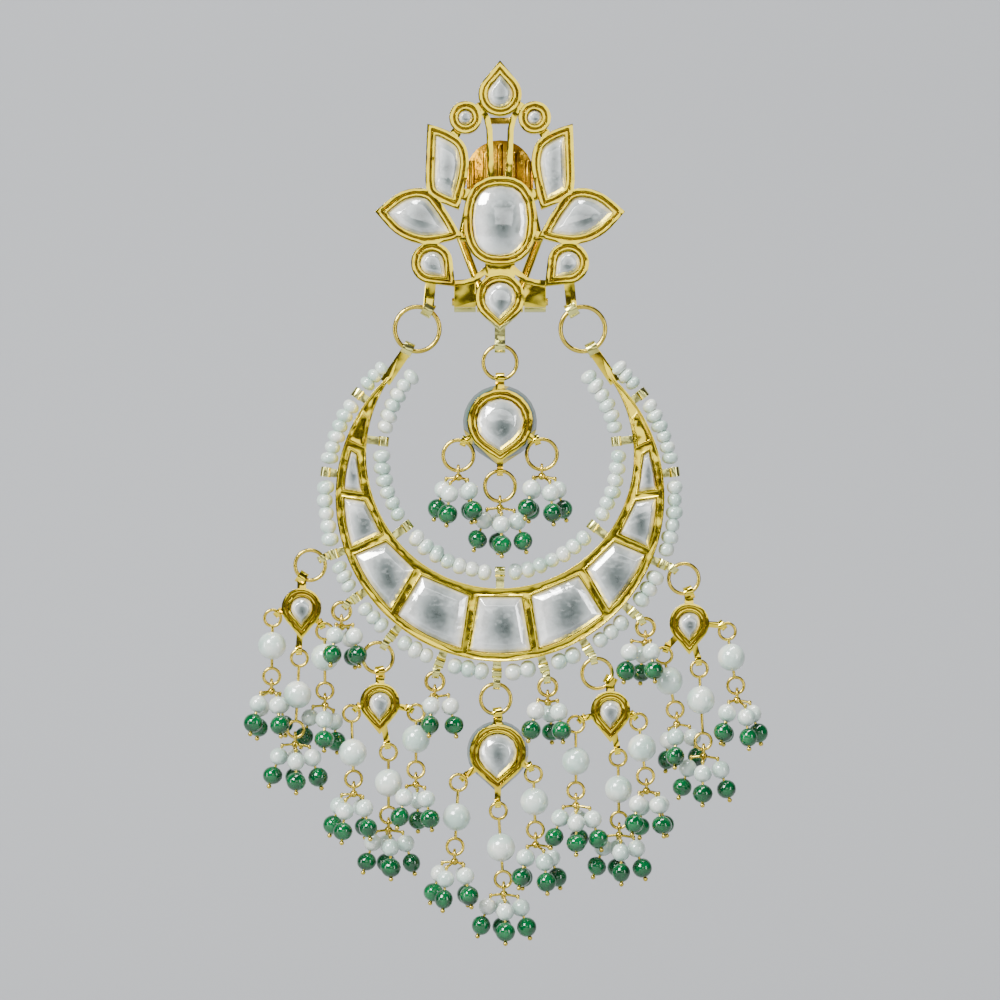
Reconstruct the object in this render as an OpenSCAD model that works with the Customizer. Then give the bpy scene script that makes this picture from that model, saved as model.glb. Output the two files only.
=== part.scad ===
// Chandbali earring: ear flower on a clip, hanging crescent with an inner pendant and a bead fringe.
// Millimetres. X to the right, Z up, the front faces -Y. The origin is where the ear lobe is held.

/* [Settings] */
// Depth of every flower setting, front to back
setting_depth = 2.4; // [2:0.1:3]
// Width of the outer rim of a setting
rim_w = 0.42; // [0.3:0.02:0.5]
// Width of the groove between the outer rim and the lip round the stone
groove_w = 0.22; // [0.15:0.01:0.3]
// Depth of that groove
groove_d = 0.4; // [0.2:0.05:0.6]
// Width of the lip round the stone
lip_w = 0.28; // [0.2:0.02:0.4]
// Depth of the seat that a stone sits in
seat_d = 1.3; // [1:0.1:1.5]
// Clearance all round a stone in its seat
stone_gap = 0.06; // [0.04:0.01:0.1]
// Height of a stone's table above its girdle
crown_h = 0.55; // [0.4:0.05:0.7]

/* [Ear flower] */
// Height of the oval's centre, measured from the ear lobe
oval_z = -4.2; // [-5:0.1:-3.5]
// Width of the central oval setting
oval_w = 8.3; // [8:0.1:9]
// Height of the central oval setting
oval_h = 10; // [9.5:0.1:10.5]
// How far the oval stands in front of the petals
oval_step = 0.4; // [0.2:0.1:0.6]
// Width of the drop-shaped finial
finial_w = 4.9; // [4.5:0.1:5.2]
// Height of the finial
finial_h = 6.3; // [6:0.1:6.8]
// Clear height between the oval and the finial
stem_h = 6.8; // [6.5:0.1:7.2]
// Diameter of the two round settings below the finial
dot_d = 3.7; // [3.4:0.1:3.9]
// Width of an upper petal
petal_w = 4.8; // [4.4:0.1:5.2]
// Height of an upper petal
petal_h = 9.7; // [9.2:0.1:10.2]
// Length of a side leaf
leaf_len = 9.8; // [9.3:0.1:10.3]
// Height of a side leaf
leaf_h = 6.2; // [5.8:0.1:6.6]
// Width of a lower bud
bud_w = 4.7; // [4.4:0.1:5]
// Length of a lower bud
bud_len = 6.1; // [5.8:0.1:6.4]
// Width of the bottom drop of the flower
base_w = 5.6; // [5.2:0.1:6]
// Height of the bottom drop of the flower
base_h = 6.6; // [6.2:0.1:7]
// Width of the stems and branches
bar_w = 0.7; // [0.5:0.05:0.9]

/* [Clip] */
// Clear space for the ear lobe between the flower and the pressing pad
lobe_gap = 4.6; // [4.3:0.1:5.5]
// Width of the pressing pad
pad_w = 7.6; // [6.5:0.1:8.5]
// Height of the pressing pad
pad_h = 8; // [7:0.1:9]
// Thickness of the pressing pad
pad_t = 0.7; // [0.5:0.05:0.9]
// Diameter of the hinge knuckles
knuckle_d = 2.4; // [2.2:0.1:2.6]
// Length of the whole hinge
hinge_len = 10.4; // [9.8:0.1:11]
// Diameter of the hinge pin
hinge_pin_d = 0.9; // [0.7:0.05:1.1]

/* [Hanging rings] */
// Radius of the two hanging rings, to the middle of the wire
hanging_ring_r = 2.52; // [2.4:0.02:2.7]
// Wire diameter of the two hanging rings
hanging_wire_d = 0.52; // [0.45:0.01:0.58]
// Width of a bail
bail_w = 1.2; // [1:0.05:1.3]
// Hole radius of a bail
bail_hole_r = 0.55; // [0.5:0.01:0.6]
// Outer radius of a bail
bail_r = 0.85; // [0.8:0.01:0.95]

/* [Crescent] */
// Radius of the outer edge
crescent_r = 18.56; // [18.2:0.1:19]
// Radius of the inner edge
moon_r = 15.1; // [14.8:0.1:15.4]
// Height of the crescent at its lowest point, edge to edge
moon_t = 8.25; // [7.9:0.05:8.6]
// Thickness of the crescent, front to back
crescent_depth = 2.5; // [2:0.1:2.8]
// Width of the crescent's edge round the cells
edge_w = 0.9; // [0.7:0.05:1.1]
// Width of the bar between two cells
divider_w = 0.95; // [0.7:0.05:1.1]
// Gap between the seed pearls and the outer edge
outer_seed_gap = 0.4; // [0.3:0.05:0.5]
// Gap between the seed pearls and the inner edge
inner_seed_gap = 0.95; // [0.7:0.05:1.1]
// Diameter of a seed pearl
seed_d = 1.8; // [1.6:0.1:1.9]
// Diameter of the thread in the seed strands
thread_d = 0.4; // [0.3:0.05:0.45]
// Width of a peg along the strand
peg_w = 1.1; // [0.9:0.05:1.3]

/* [Inner pendant] */
// Radius of the pendant's ring, to the middle of the wire
pendant_ring_r = 1.9; // [1.7:0.05:2]
// Width of the pendant
pendant_w = 7.4; // [7:0.1:7.8]
// Height of the pendant
pendant_h = 8.2; // [7.8:0.1:8.6]
// Radius of the pendant's three small rings
pendant_small_r = 1.72; // [1.6:0.02:1.8]

/* [Fringe] */
// Radius of a fringe ring, to the middle of the wire
fringe_ring_r = 1.7; // [1.6:0.02:1.8]
// Radius of the four smaller fringe rings, to the middle of the wire
small_ring_r = 1; // [0.95:0.01:1.1]
// Wire diameter of the rings of pendant and fringe
ring_wire_d = 0.44; // [0.4:0.01:0.48]
// Width of the centre drop
centre_w = 6.4; // [6:0.1:6.8]
// Height of the centre drop
centre_h = 7.5; // [7.1:0.1:7.9]
// Width of a small drop
drop_w = 4.5; // [4.2:0.1:4.8]
// Height of a small drop
drop_h = 5.8; // [5.5:0.1:6.1]
// Depth of every hanging drop, front to back
drop_depth = 2.6; // [2.2:0.1:2.8]
// Diameter of a large pearl
large_pearl_d = 3.3; // [3.1:0.05:3.4]
// Diameter of a small pearl
pearl_d = 2.1; // [1.9:0.05:2.2]
// Diameter of an emerald bead
emerald_d = 2.3; // [2.1:0.05:2.4]
// Wire diameter of the eye pins
eye_wire_d = 0.36; // [0.3:0.01:0.4]
// Wire diameter of the head pins
pin_wire_d = 0.3; // [0.24:0.01:0.34]
// Radius of an eye pin's eyes, to the middle of the wire
eye_r = 0.92; // [0.85:0.01:1]

/* [Hidden] */
$fn = 32;

GOLD = "gold";
PALE_GOLD = "khaki";
DIAMOND = "whitesmoke";
PEARL = "mintcream";
EMERALD = "seagreen";

// Overshoot of every cut past the face that it leaves
cut = 0.5;
// Points of an inset outline nearer the edge than this much less than the inset are left out
inset_slack = 0.01;

// Outlines, drawn in the plane of the earring as [x, z]
function turned(p, a) = [p[0] * cos(a) - p[1] * sin(a), p[0] * sin(a) + p[1] * cos(a)];
function placed(outline, at, a = 0) = [for (p = outline) at + turned(p, a)];
function wrapped(list, i) = list[(i + len(list)) % len(list)];
function unit(v) = v / norm(v);
function arc(c, r, from, to, steps) =
    [for (i = [0:steps]) let (a = from + (to - from) * i / steps) c + r * [cos(a), sin(a)]];

// Superellipse, a plain oval at power 2 and squarer above it
function oval_outline(w, h, power, n) =
    [for (i = [0:n - 1]) let (a = 360 * i / n)
        [w / 2 * sign(cos(a)) * pow(abs(cos(a)), 2 / power), h / 2 * sign(sin(a)) * pow(abs(sin(a)), 2 / power)]];

// Drop with its round end at the origin and its tip below
function drop_outline(w, h, n) =
    let (r = w / 2, tip = h - r, open = acos(r / tip))
    concat(arc([0, 0], r, open - 90, 270 - open, n), [[0, -tip]]);

// Smooth curve through rows of [x, z, corner]; a corner of 1 stays sharp
function on_curve(p0, p1, p2, p3, t) =
    0.5 * (2 * p1 + (p2 - p0) * t + (2 * p0 - 5 * p1 + 4 * p2 - p3) * t * t
        + (3 * p1 - p0 - 3 * p2 + p3) * t * t * t);
function flat_point(row) = [row[0], row[1]];
function curve_outline(rows, steps) =
    [for (i = [0:len(rows) - 1])
        let (
            b = rows[i],
            c = wrapped(rows, i + 1),
            p0 = flat_point(b[2] == 1 ? b : wrapped(rows, i - 1)),
            p3 = flat_point(c[2] == 1 ? c : wrapped(rows, i + 2))
        )
        for (s = [0:steps - 1]) on_curve(p0, flat_point(b), flat_point(c), p3, s / steps)];

// The same outline, moved inwards by d; its points run anticlockwise
function inward(u) = [-u[1], u[0]];
function edge_gap(p, a, b) =
    let (t = max(0, min(1, (p - a) * (b - a) / ((b - a) * (b - a)))))
    norm(p - a - t * (b - a));
function outline_gap(p, outline) =
    min([for (i = [0:len(outline) - 1]) edge_gap(p, outline[i], wrapped(outline, i + 1))]);
function inset(outline, d) =
    [for (i = [0:len(outline) - 1])
        let (
            p = outline[i],
            n1 = inward(unit(p - wrapped(outline, i - 1))),
            n2 = inward(unit(wrapped(outline, i + 1) - p)),
            moved = p + d * (n1 + n2) / (1 + n1 * n2)
        )
        if (outline_gap(moved, outline) > d - inset_slack) moved];

// Band of one width along a line of points
function band(line, w) =
    let (
        last = len(line) - 1,
        side = [for (i = [0:last]) w / 2 * inward(unit(line[min(i + 1, last)] - line[max(i - 1, 0)]))]
    )
    concat([for (i = [0:last]) line[i] - side[i]], [for (i = [last:-1:0]) line[i] + side[i]]);

function upright(p, y = 0) = [p[0], y, p[1]];
function down(a) = [sin(a), -cos(a)];

// Ear flower: places of its settings
shell_w = rim_w + groove_w + lip_w;
flower_front = -setting_depth / 2;
flower_back = setting_depth / 2;
oval_at = [0, oval_z];
oval_top = oval_z + oval_h / 2;
finial_at = [0, oval_top + stem_h + finial_w / 2];
dot_at = finial_at + [finial_w / 2 + 1.45, -finial_w / 2 - 0.15];
base_at = [0, oval_z - oval_h / 2 - 0.9 - base_w / 2];
base_tip = base_at - [0, base_h - base_w / 2];
petal_at = oval_at + [oval_w / 2 + 1.8, 6.1];
leaf_at = oval_at + [oval_w / 2 + leaf_len / 2 + 0.15, 0.55];
bud_at = leaf_at + [-1.5, -leaf_h / 2 - bud_w / 2 + 0.15];
bud_turn = -45;
bud_tip = bud_at + turned([0, -(bud_len - bud_w / 2)], bud_turn);

OVAL = placed(oval_outline(oval_w, oval_h, 2.4, 36), oval_at);
FINIAL = placed(drop_outline(finial_w, finial_h, 20), finial_at, 180);
BASE = placed(drop_outline(base_w, base_h, 20), base_at);
DOT = placed(oval_outline(dot_d, dot_d, 2, 24), dot_at);
BUD = placed(drop_outline(bud_w, bud_len, 20), bud_at, bud_turn);

// Right petal as shares of its width and height: x, z, corner
PETAL_ROWS = [
    [0.47, 0.5, 1], [0, 0.42, 0], [-0.37, 0.29, 0], [-0.5, 0.1, 0],
    [-0.46, -0.13, 0], [-0.27, -0.5, 1], [0.2, -0.4, 0], [0.49, -0.27, 0], [0.5, 0.1, 0]
];
PETAL = placed(curve_outline([for (r = PETAL_ROWS) [r[0] * petal_w, r[1] * petal_h, r[2]]], 3), petal_at);

// Right leaf as shares of its length and height: x, z, corner
LEAF_ROWS = [
    [0.5, 0.08, 1], [0.2, 0.44, 0], [-0.1, 0.48, 0], [-0.3, 0.15, 0],
    [-0.5, -0.38, 1], [-0.29, -0.48, 0], [0, -0.5, 0], [0.27, -0.31, 0]
];
LEAF = placed(curve_outline([for (r = LEAF_ROWS) [r[0] * leaf_len, r[1] * leaf_h, r[2]]], 4), leaf_at);

// Hanging points: bail holes, ring centres and horn loops
hang_lean = 30;
bail_at = bud_at + [0.4, -bud_w / 2 - 2.9];
hanging_ring_at = bail_at + hanging_ring_r * down(hang_lean);
horn_loop_lean = 25;
horn_loop_at = hanging_ring_at + hanging_ring_r * down(horn_loop_lean);
centre_bail_at = base_tip - [0, 1.55];

// Crescent: two circles that cross at the horn tips
moon_offset = moon_t - crescent_r + moon_r;
tip_rise = (pow(moon_offset, 2) + pow(crescent_r, 2) - pow(moon_r, 2)) / (2 * moon_offset);
tip_x = sqrt(pow(crescent_r, 2) - pow(tip_rise, 2));
horn_drop = 2.15;
crescent_at = [0, horn_loop_at[1] - horn_drop - tip_rise];
moon_at = crescent_at + [0, moon_offset];
horn_tip = crescent_at + [tip_x, tip_rise];
// Where the loop's neck joins the horn: midway between its edges, just below where the circles cross
horn_neck_drop = 1.6;
horn_foot_z = horn_tip[1] - horn_neck_drop;
function half_chord(centre, r) = sqrt(pow(r, 2) - pow(horn_foot_z - centre[1], 2));
horn_foot = [(half_chord(crescent_at, crescent_r) + half_chord(moon_at, moon_r)) / 2, horn_foot_z];
crescent_front = -crescent_depth / 2;
crescent_back = crescent_depth / 2;
outer_seed_r = crescent_r + outer_seed_gap + seed_d / 2;
inner_seed_r = moon_r - inner_seed_gap - seed_d / 2;

// Edges of the nine cells, left to right: angle on the outer edge and on the inner edge
CELL_EDGES = [
    [-109, -92], [-91.3, -73], [-69.9, -54.6], [-42.7, -34.9], [-12.9, -10.5],
    [12.9, 10.5], [42.7, 34.9], [69.9, 54.6], [91.3, 73], [109, 92]
];
// Dished part of a horn, between the last cell and the tip
HORN_EDGES = [[111, 94], [121, 105]];

// Pegs on the outer edge and on the inner edge, as angles from the lowest point
RING_PEGS = [-71, -55, -38, -20, -1, 14.5, 30, 49, 67.5];
OUTER_PEGS = concat([-126, -98.2], RING_PEGS, [98.2, 126]);
INNER_PEGS = [-96.5, -52.5, 0, 52.5, 96.5];
outer_strand_end = 132.5;
inner_strand_end = 127;
peg_r = 0.62;
// How much narrower a peg's foot is than the peg
peg_foot_step = 0.16;
// Bare thread on each side of a peg
thread_bare = 0.35;
thread_hole_r = 0.34;
ring_peg_r = 0.68;
ring_peg_hole_r = 0.4;
ring_eye_w = 0.8;
ring_peg_reach = 1.25;

// Rings: direction of each fringe ring from its peg, large and small rings by turns
RING_LEANS = [-61, -38, -28, -8, -4, 6, 14, 30, 48];
function ring_r(i) = i % 2 == 0 ? fringe_ring_r : small_ring_r;
function ring_peg_at(i) = crescent_at + (outer_seed_r + ring_peg_reach) * down(RING_PEGS[i]);
function fringe_ring_at(i) = ring_peg_at(i) + ring_r(i) * down(RING_LEANS[i]);

// Inner pendant
pendant_ring_at = centre_bail_at - [0, pendant_ring_r];
pendant_bail_at = pendant_ring_at - [0, pendant_ring_r];
drop_bail_r = 0.75;
drop_bail_hole_r = 0.42;
drop_bail_w = 1;
bail_rise = 1.15;
knob_r = 0.6;
knob_hole_r = 0.36;
knob_w = 0.7;
pendant_at = pendant_bail_at - [0, bail_rise + pendant_w / 2];

// Side knobs of a drop: direction from the middle of its round end
PENDANT_KNOBS = [-62, 0, 64];
PENDANT_HANGS = [-22, 0, 20];
PENDANT_KNOB_LENS = [0.9, 1, 0.9];

// Hanging drops: ring, lean of the bail on the ring, width, height
DROPS = [
    [0, -34, drop_w, drop_h],
    [2, 8, drop_w, drop_h],
    [4, 8, centre_w, centre_h],
    [6, 62, drop_w, drop_h],
    [8, 20, drop_w, drop_h]
];
CENTRE_DROP = 2;
SMALL_DROPS = [0, 1, 3, 4];
function drop_bail_at(d) = fringe_ring_at(DROPS[d][0]) + fringe_ring_r * down(DROPS[d][1]);
function drop_at(d) = drop_bail_at(d) - [0, bail_rise + DROPS[d][2] / 2];
// Distance from the middle of the round end to the outline, in a direction from straight down
function drop_reach(w, h, a) =
    let (r = w / 2, tip = h - r, open = acos(r / tip))
    abs(a) > open ? r : r / cos(open - abs(a));
function knob_at(at, w, h, a, len) = at + (drop_reach(w, h, a) + len) * down(a);

// Eye pins: drop, direction of the knob, length of the knob, lean of the eye on the knob, lean of the pin,
// tilt to the back, wire above the pearl, wire under the pearl
DANGLERS = [
    [0, -78, 0.42, -48, -1, 2, 0.55, 0.9],
    [0, -4, 1.5, 4, -3, -2, 1.55, 1.35],
    [0, 50, 0.6, 26, 0, 9, 0.4, 1.3],
    [1, -78, 0.42, -42, 2, -5, 1.85, 0.4],
    [1, 10, 1.8, 8, 0, 3, 0.9, 1.1],
    [1, 78, 1.1, 60, 0, -7, 0.4, 0.9],
    [2, -54, 1.5, -45, -3, -4, 1.35, 0.75],
    [2, 0, 1.4, 4, 4, 3, 1.6, 1.05],
    [2, 66, 0.8, 24, 2, 4, 0.55, 0.65],
    [3, -74, 1.1, -48, 0, -6, 1.6, 0.75],
    [3, 10, 1.5, 6, 1, 3, 1, 0.95],
    [3, 78, 0.42, 40, 7, -6, 0.4, 0.65],
    [4, -42, 1.5, -20, 12, 7, 0.4, 0.8],
    [4, 14, 1.6, 6, 3, -3, 0.95, 2.1],
    [4, 86, 1.5, 40, 9, 2, 0.4, 0.65]
];
function dangler_eye(k) =
    let (row = DANGLERS[k], d = row[0])
    knob_at(drop_at(d), DROPS[d][2], DROPS[d][3], row[1], row[2]) + eye_r * down(row[3]);
function dangler_way(k) =
    let (row = DANGLERS[k])
    [sin(row[4]) * cos(row[5]), sin(row[5]), -cos(row[4]) * cos(row[5])];
function large_pearl_at(k) =
    upright(dangler_eye(k)) + dangler_way(k) * (eye_r + DANGLERS[k][6] + large_pearl_d / 2);
function low_eye_at(k) =
    large_pearl_at(k) + dangler_way(k) * (large_pearl_d / 2 + DANGLERS[k][7] + eye_r);
function dangler_end(k) = low_eye_at(k) + dangler_way(k) * eye_r;

// Sprays: three or four head pins on one loop, each with a pearl and a green bead
spray_loop_r = 0.55;
// Solder ball under the loop, and how far its middle lies below the loop's wire
collar_r = 0.44;
collar_drop = 0.2;
// Ball at each pin's bend, how far it stands off the pearl, and the pin's head
knee_r = 0.24;
knee_rise = 0.27;
head_r = 0.27;
head_gap = 0.15;
// How far out in a ball the wires that enter it end, as a share of its radius
in_ball = 0.76;
pearl_hole_r = pin_wire_d / 2 + 0.11;
large_hole_r = eye_wire_d / 2 + 0.12;
// Reach and drop of the pearl and of the bead on each pin, measured from the loop
SPRAY_PINS = [
    [1.95, 2.3, 2.6, 4.5],
    [1.85, 2.15, 2.55, 4.3],
    [1.75, 2.65, 2.1, 4.9],
    [1.8, 2.35, 2.3, 4.6]
];
// The same for a spray on a ring, which has three pins
RING_SPRAY_PINS = [
    [1.95, 1.8, 2.4, 3.9],
    [1.85, 1.7, 2.55, 3.8],
    [1.8, 2.1, 2.5, 4.2]
];
// Direction of each spray's pins, seen from above; 0 is to the right and -90 to the front
OPEN = [0, 180, -85, 95];
CLEAR_RIGHT = [-50, 160, -125, 55];
CLEAR_LEFT = [20, -130, -55, 125];
FRONT = [-15, -165, -90, 80];
PENDANT_SPRAYS = [CLEAR_RIGHT, OPEN, CLEAR_LEFT];
DANGLER_SPRAYS = [
    [-67, -142, 138, 55], OPEN, [-90, 160, 55],
    [-50, 160, -125, 62], [5, 195, -82, 98], [-52, -135, 85],
    CLEAR_RIGHT, OPEN, CLEAR_LEFT,
    FRONT, OPEN, [-50, -125, 108, 26],
    [25, -96, 122], [5, 160, -95], [22, -130, -56, 124]
];
// Sprays that hang from a ring: ring, then the directions
RING_SPRAYS = [
    [1, [-40, -113, 60]],
    [3, [-25, -102, 112]],
    [5, [-50, -138, 80]],
    [7, [-158, -70, 100]]
];
ring_bottom = [0, -1];
function ring_spray_at(s) = upright(fringe_ring_at(RING_SPRAYS[s][0]) + small_ring_r * ring_bottom);
function pendant_small_at(k) =
    knob_at(pendant_at, pendant_w, pendant_h, PENDANT_KNOBS[k], PENDANT_KNOB_LENS[k]) + pendant_small_r * down(PENDANT_HANGS[k]);
function pendant_spray_at(k) = upright(pendant_small_at(k) + pendant_small_r * ring_bottom);

// Every spray as [loop centre, directions, pins]
PENDANT_LIST = [for (k = [0:2]) [pendant_spray_at(k), PENDANT_SPRAYS[k], SPRAY_PINS]];
CENTRE_LIST = [for (k = [6:8]) [dangler_end(k), DANGLER_SPRAYS[k], SPRAY_PINS]];
LEFT_LIST = concat(
    [for (k = [0:5]) [dangler_end(k), DANGLER_SPRAYS[k], SPRAY_PINS]],
    [for (s = [0:1]) [ring_spray_at(s), RING_SPRAYS[s][1], RING_SPRAY_PINS]]
);
RIGHT_LIST = concat(
    [for (k = [9:14]) [dangler_end(k), DANGLER_SPRAYS[k], SPRAY_PINS]],
    [for (s = [2:3]) [ring_spray_at(s), RING_SPRAYS[s][1], RING_SPRAY_PINS]]
);
function spoke(reach, drop, a) = [reach * cos(a), reach * sin(a), -drop];
function spray_pearl(spray, i) = spray[0] + spoke(spray[2][i][0], spray[2][i][1], spray[1][i]);
function spray_emerald(spray, i) = spray[0] + spoke(spray[2][i][2], spray[2][i][3], spray[1][i]);

// Clip: hinge behind the bottom drop, lever that leans back to the pad
hinge_at = [flower_back + 0.5 + knuckle_d / 2, base_at[1] - 0.3];
lever_knuckle_len = 5.2;
knuckle_gap = 0.15;
hinge_pin_gap = 0.08;
pad_front = flower_back + lobe_gap;
pad_cup_r = 9;
pad_bottom = oval_z + 1.6;
leg_d = 1;
leg_spread = pad_w / 2 + 0.6;

// Solid between two depths, drawn from its outline
module slab(outline, front, back) {
    translate([0, back, 0])
        rotate([90, 0, 0])
            linear_extrude(back - front)
                polygon(outline);
}

// Turns +Z of what it holds to a direction and moves it to a point
module aimed(at, way) {
    translate(at)
        rotate([0, acos(way[2] / norm(way)), atan2(way[1], way[0])])
            children();
}

module rod(from, to, r) {
    aimed(from, to - from)
        cylinder(h = norm(to - from), r = r);
}

// Closed wire ring round a point, its hole along the direction and its seam to one side
module wire_ring(at, way, r, wire_d) {
    aimed(at, way)
        rotate([0, 0, 90])
            rotate_extrude()
                translate([r, 0])
                    circle(d = wire_d);
}

// Kundan setting: outer rim, groove, lip and the seat of the stone
module setting(outline, front, back) {
    difference() {
        slab(outline, front, back);
        difference() {
            slab(inset(outline, rim_w), front - cut, front + groove_d);
            slab(inset(outline, rim_w + groove_w), front - 2 * cut, front + groove_d + cut);
        }
        slab(inset(outline, shell_w), front - cut, front + seat_d);
    }
}

// Flat-cut stone: girdle in the seat, a facet from each girdle edge up to the table
module polki(outline, front, table_share = 0.62) {
    n = len(outline);
    middle = [for (axis = [0, 1]) (max([for (p = outline) p[axis]]) + min([for (p = outline) p[axis]])) / 2];
    table = [for (p = outline) middle + (p - middle) * table_share];
    girdle = front + crown_h - 0.15;
    points = concat(
        [for (p = outline) upright(p, front + seat_d - stone_gap)],
        [for (p = outline) upright(p, girdle)],
        [for (p = table) upright(p, girdle - crown_h)]
    );
    walls = [for (ring = [0, n], i = [0:n - 1])
        let (a = ring + i, b = ring + (i + 1) % n)
        [a, a + n, b + n, b]];
    color(DIAMOND)
        polyhedron(points, concat([[for (i = [0:n - 1]) i]], walls, [[for (i = [n - 1:-1:0]) 2 * n + i]]));
}

module set_stone(outline, front) {
    polki(inset(outline, shell_w + stone_gap), front);
}

function stone_outline_drop(at, w, h, a) = placed(drop_outline(w, h, 10), at, a);

// Bail with its hole along the way given, and a neck that joins it to the metal below or above
module bail(at, way, foot, w = bail_w, r = bail_r, hole_r = bail_hole_r) {
    difference() {
        union() {
            aimed(upright(at), way)
                cylinder(h = w, r = r, center = true);
            slab(band([at, foot], w), -r * 0.7, r * 0.7);
        }
        aimed(upright(at), way)
            cylinder(h = w + 2 * cut, r = hole_r, center = true);
    }
}

module both_sides() {
    children();
    mirror([1, 0, 0])
        children();
}

// Bars and solder that join the settings of the flower
module flower_joints() {
    stem = [
        [finial_w * 0.42, finial_at[1] - finial_w * 0.32],
        [finial_w * 0.3, finial_at[1] - finial_w * 0.55],
        [oval_w * 0.145, finial_at[1] - finial_w * 0.8],
        [oval_w * 0.12, oval_top - 0.4]
    ];
    branch = [
        [0.8, oval_z - oval_h / 2 + 0.2],
        [base_w * 0.52, base_at[1] + base_w * 0.36],
        [(base_w / 2 + bud_tip[0]) / 2, bud_tip[1] + 0.45],
        bud_tip + [0.3, 0.35]
    ];
    spots = [
        [dot_at + [-dot_d * 0.47, dot_d * 0.3], 0.75],
        [dot_at + [dot_d * 0.3, -dot_d * 0.45], 0.6],
        [[oval_w * 0.46, oval_z + oval_h * 0.3], 0.7],
        [[oval_w * 0.5, leaf_at[1] - leaf_h * 0.36], 0.6],
        [bud_at + [0.3, bud_w / 2], 0.9],
        [petal_at + [petal_w * 0.42, -petal_h * 0.38], 0.8]
    ];
    both_sides() {
        slab(band(stem, bar_w), flower_front + 0.3, flower_back - 0.6);
        slab(band(branch, bar_w), flower_front + 0.3, flower_back - 0.6);
        for (s = spots)
            slab(arc(s[0], s[1], 0, 345, 23), flower_front + seat_d + 0.05, flower_back - 0.3);
        bail(bail_at, upright([cos(hang_lean), sin(hang_lean)]), bud_at + [0.1, -bud_w * 0.42]);
    }
    slab(band([[-finial_w * 0.32, finial_at[1] - finial_w * 0.6], [finial_w * 0.32, finial_at[1] - finial_w * 0.6]],
        bar_w), flower_front + 0.4, flower_back - 0.7);
    slab(band([[0, oval_z - oval_h / 2 + 0.6], [0, base_at[1] + base_w / 2 - 0.6]], base_w * 0.6),
        flower_front + 0.3, flower_back - 0.3);
    bail(centre_bail_at, [1, 0, 0], base_tip + [0, 1]);
}

// Two fixed knuckles on lugs under the buds' tips
module hinge_bracket() {
    inner = lever_knuckle_len / 2 + knuckle_gap;
    outer = hinge_len / 2;
    both_sides() {
        difference() {
            union() {
                translate([inner, hinge_at[0], hinge_at[1]])
                    rotate([0, 90, 0])
                        cylinder(h = outer - inner, d = knuckle_d);
                translate([inner, flower_back - 1.6, hinge_at[1] - knuckle_d * 0.3])
                    cube([outer - inner, hinge_at[0] - flower_back + 1.2, bud_tip[1] - hinge_at[1] + 1.1]);
            }
            translate([inner - cut, hinge_at[0], hinge_at[1]])
                rotate([0, 90, 0])
                    cylinder(h = outer - inner + 2 * cut, d = hinge_pin_d + 2 * hinge_pin_gap);
        }
    }
}

module flower_frame() {
    color(GOLD) {
        setting(OVAL, flower_front - oval_step, flower_back);
        setting(FINIAL, flower_front, flower_back);
        setting(BASE, flower_front, flower_back);
        both_sides() {
            setting(DOT, flower_front, flower_back);
            setting(PETAL, flower_front, flower_back);
            setting(LEAF, flower_front, flower_back);
            setting(BUD, flower_front, flower_back);
        }
        flower_joints();
        hinge_bracket();
    }
}

module flower_stone_oval() set_stone(placed(oval_outline(oval_w, oval_h, 2.4, 16), oval_at), flower_front - oval_step);
module flower_stone_finial() set_stone(stone_outline_drop(finial_at, finial_w, finial_h, 180), flower_front);
module flower_stone_base() set_stone(stone_outline_drop(base_at, base_w, base_h, 0), flower_front);
module flower_stone_dot() set_stone(placed(oval_outline(dot_d, dot_d, 2, 12), dot_at), flower_front);
module flower_stone_petal() set_stone(PETAL, flower_front);
module flower_stone_leaf() set_stone(LEAF, flower_front);
module flower_stone_bud() set_stone(stone_outline_drop(bud_at, bud_w, bud_len, bud_turn), flower_front);
module mirrored_stone() mirror([1, 0, 0]) children();

// Cupped pad with upright ribs, seen behind the stems
module pad() {
    outline = concat(
        [[-pad_w / 2, pad_bottom], [pad_w / 2, pad_bottom]],
        arc([0, pad_bottom + pad_h - pad_w / 2], pad_w / 2, 0, 180, 16)
    );
    cup_y = pad_front + pad_t - pad_cup_r + 0.9;
    intersection() {
        slab(outline, pad_front - pad_t, pad_front + 3 * pad_t);
        translate([0, cup_y, pad_bottom - cut])
            difference() {
                cylinder(h = pad_h + 2 * cut, r = pad_cup_r, $fn = 96);
                translate([0, 0, -cut])
                    cylinder(h = pad_h + 4 * cut, r = pad_cup_r - pad_t, $fn = 96);
            }
    }
}

module clip_lever() {
    pad_edge_y = pad_front + pad_t - pad_cup_r + 0.9 + sqrt(pow(pad_cup_r - pad_t / 2, 2) - pow(pad_w / 2 - 0.4, 2));
    foot = [lever_knuckle_len / 2 - 0.7, hinge_at[0] + 0.4, hinge_at[1] + 0.4];
    elbow = [leg_spread, (hinge_at[0] + pad_front) / 2 + 0.9, pad_bottom - 3.4];
    hand = [pad_w / 2 - 0.4, pad_edge_y, pad_bottom + 1.2];
    color(GOLD) {
        difference() {
            union() {
                translate([-lever_knuckle_len / 2, hinge_at[0], hinge_at[1]])
                    rotate([0, 90, 0])
                        cylinder(h = lever_knuckle_len, d = knuckle_d);
                both_sides() {
                    rod(foot, elbow, leg_d / 2);
                    translate(elbow)
                        sphere(r = leg_d / 2 + 0.04);
                    rod(elbow, hand, leg_d / 2);
                    translate(hand)
                        sphere(r = leg_d / 2 + 0.04);
                }
                pad();
            }
            translate([-lever_knuckle_len, hinge_at[0], hinge_at[1]])
                rotate([0, 90, 0])
                    cylinder(h = 2 * lever_knuckle_len, d = hinge_pin_d + 2 * hinge_pin_gap);
        }
    }
}

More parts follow.
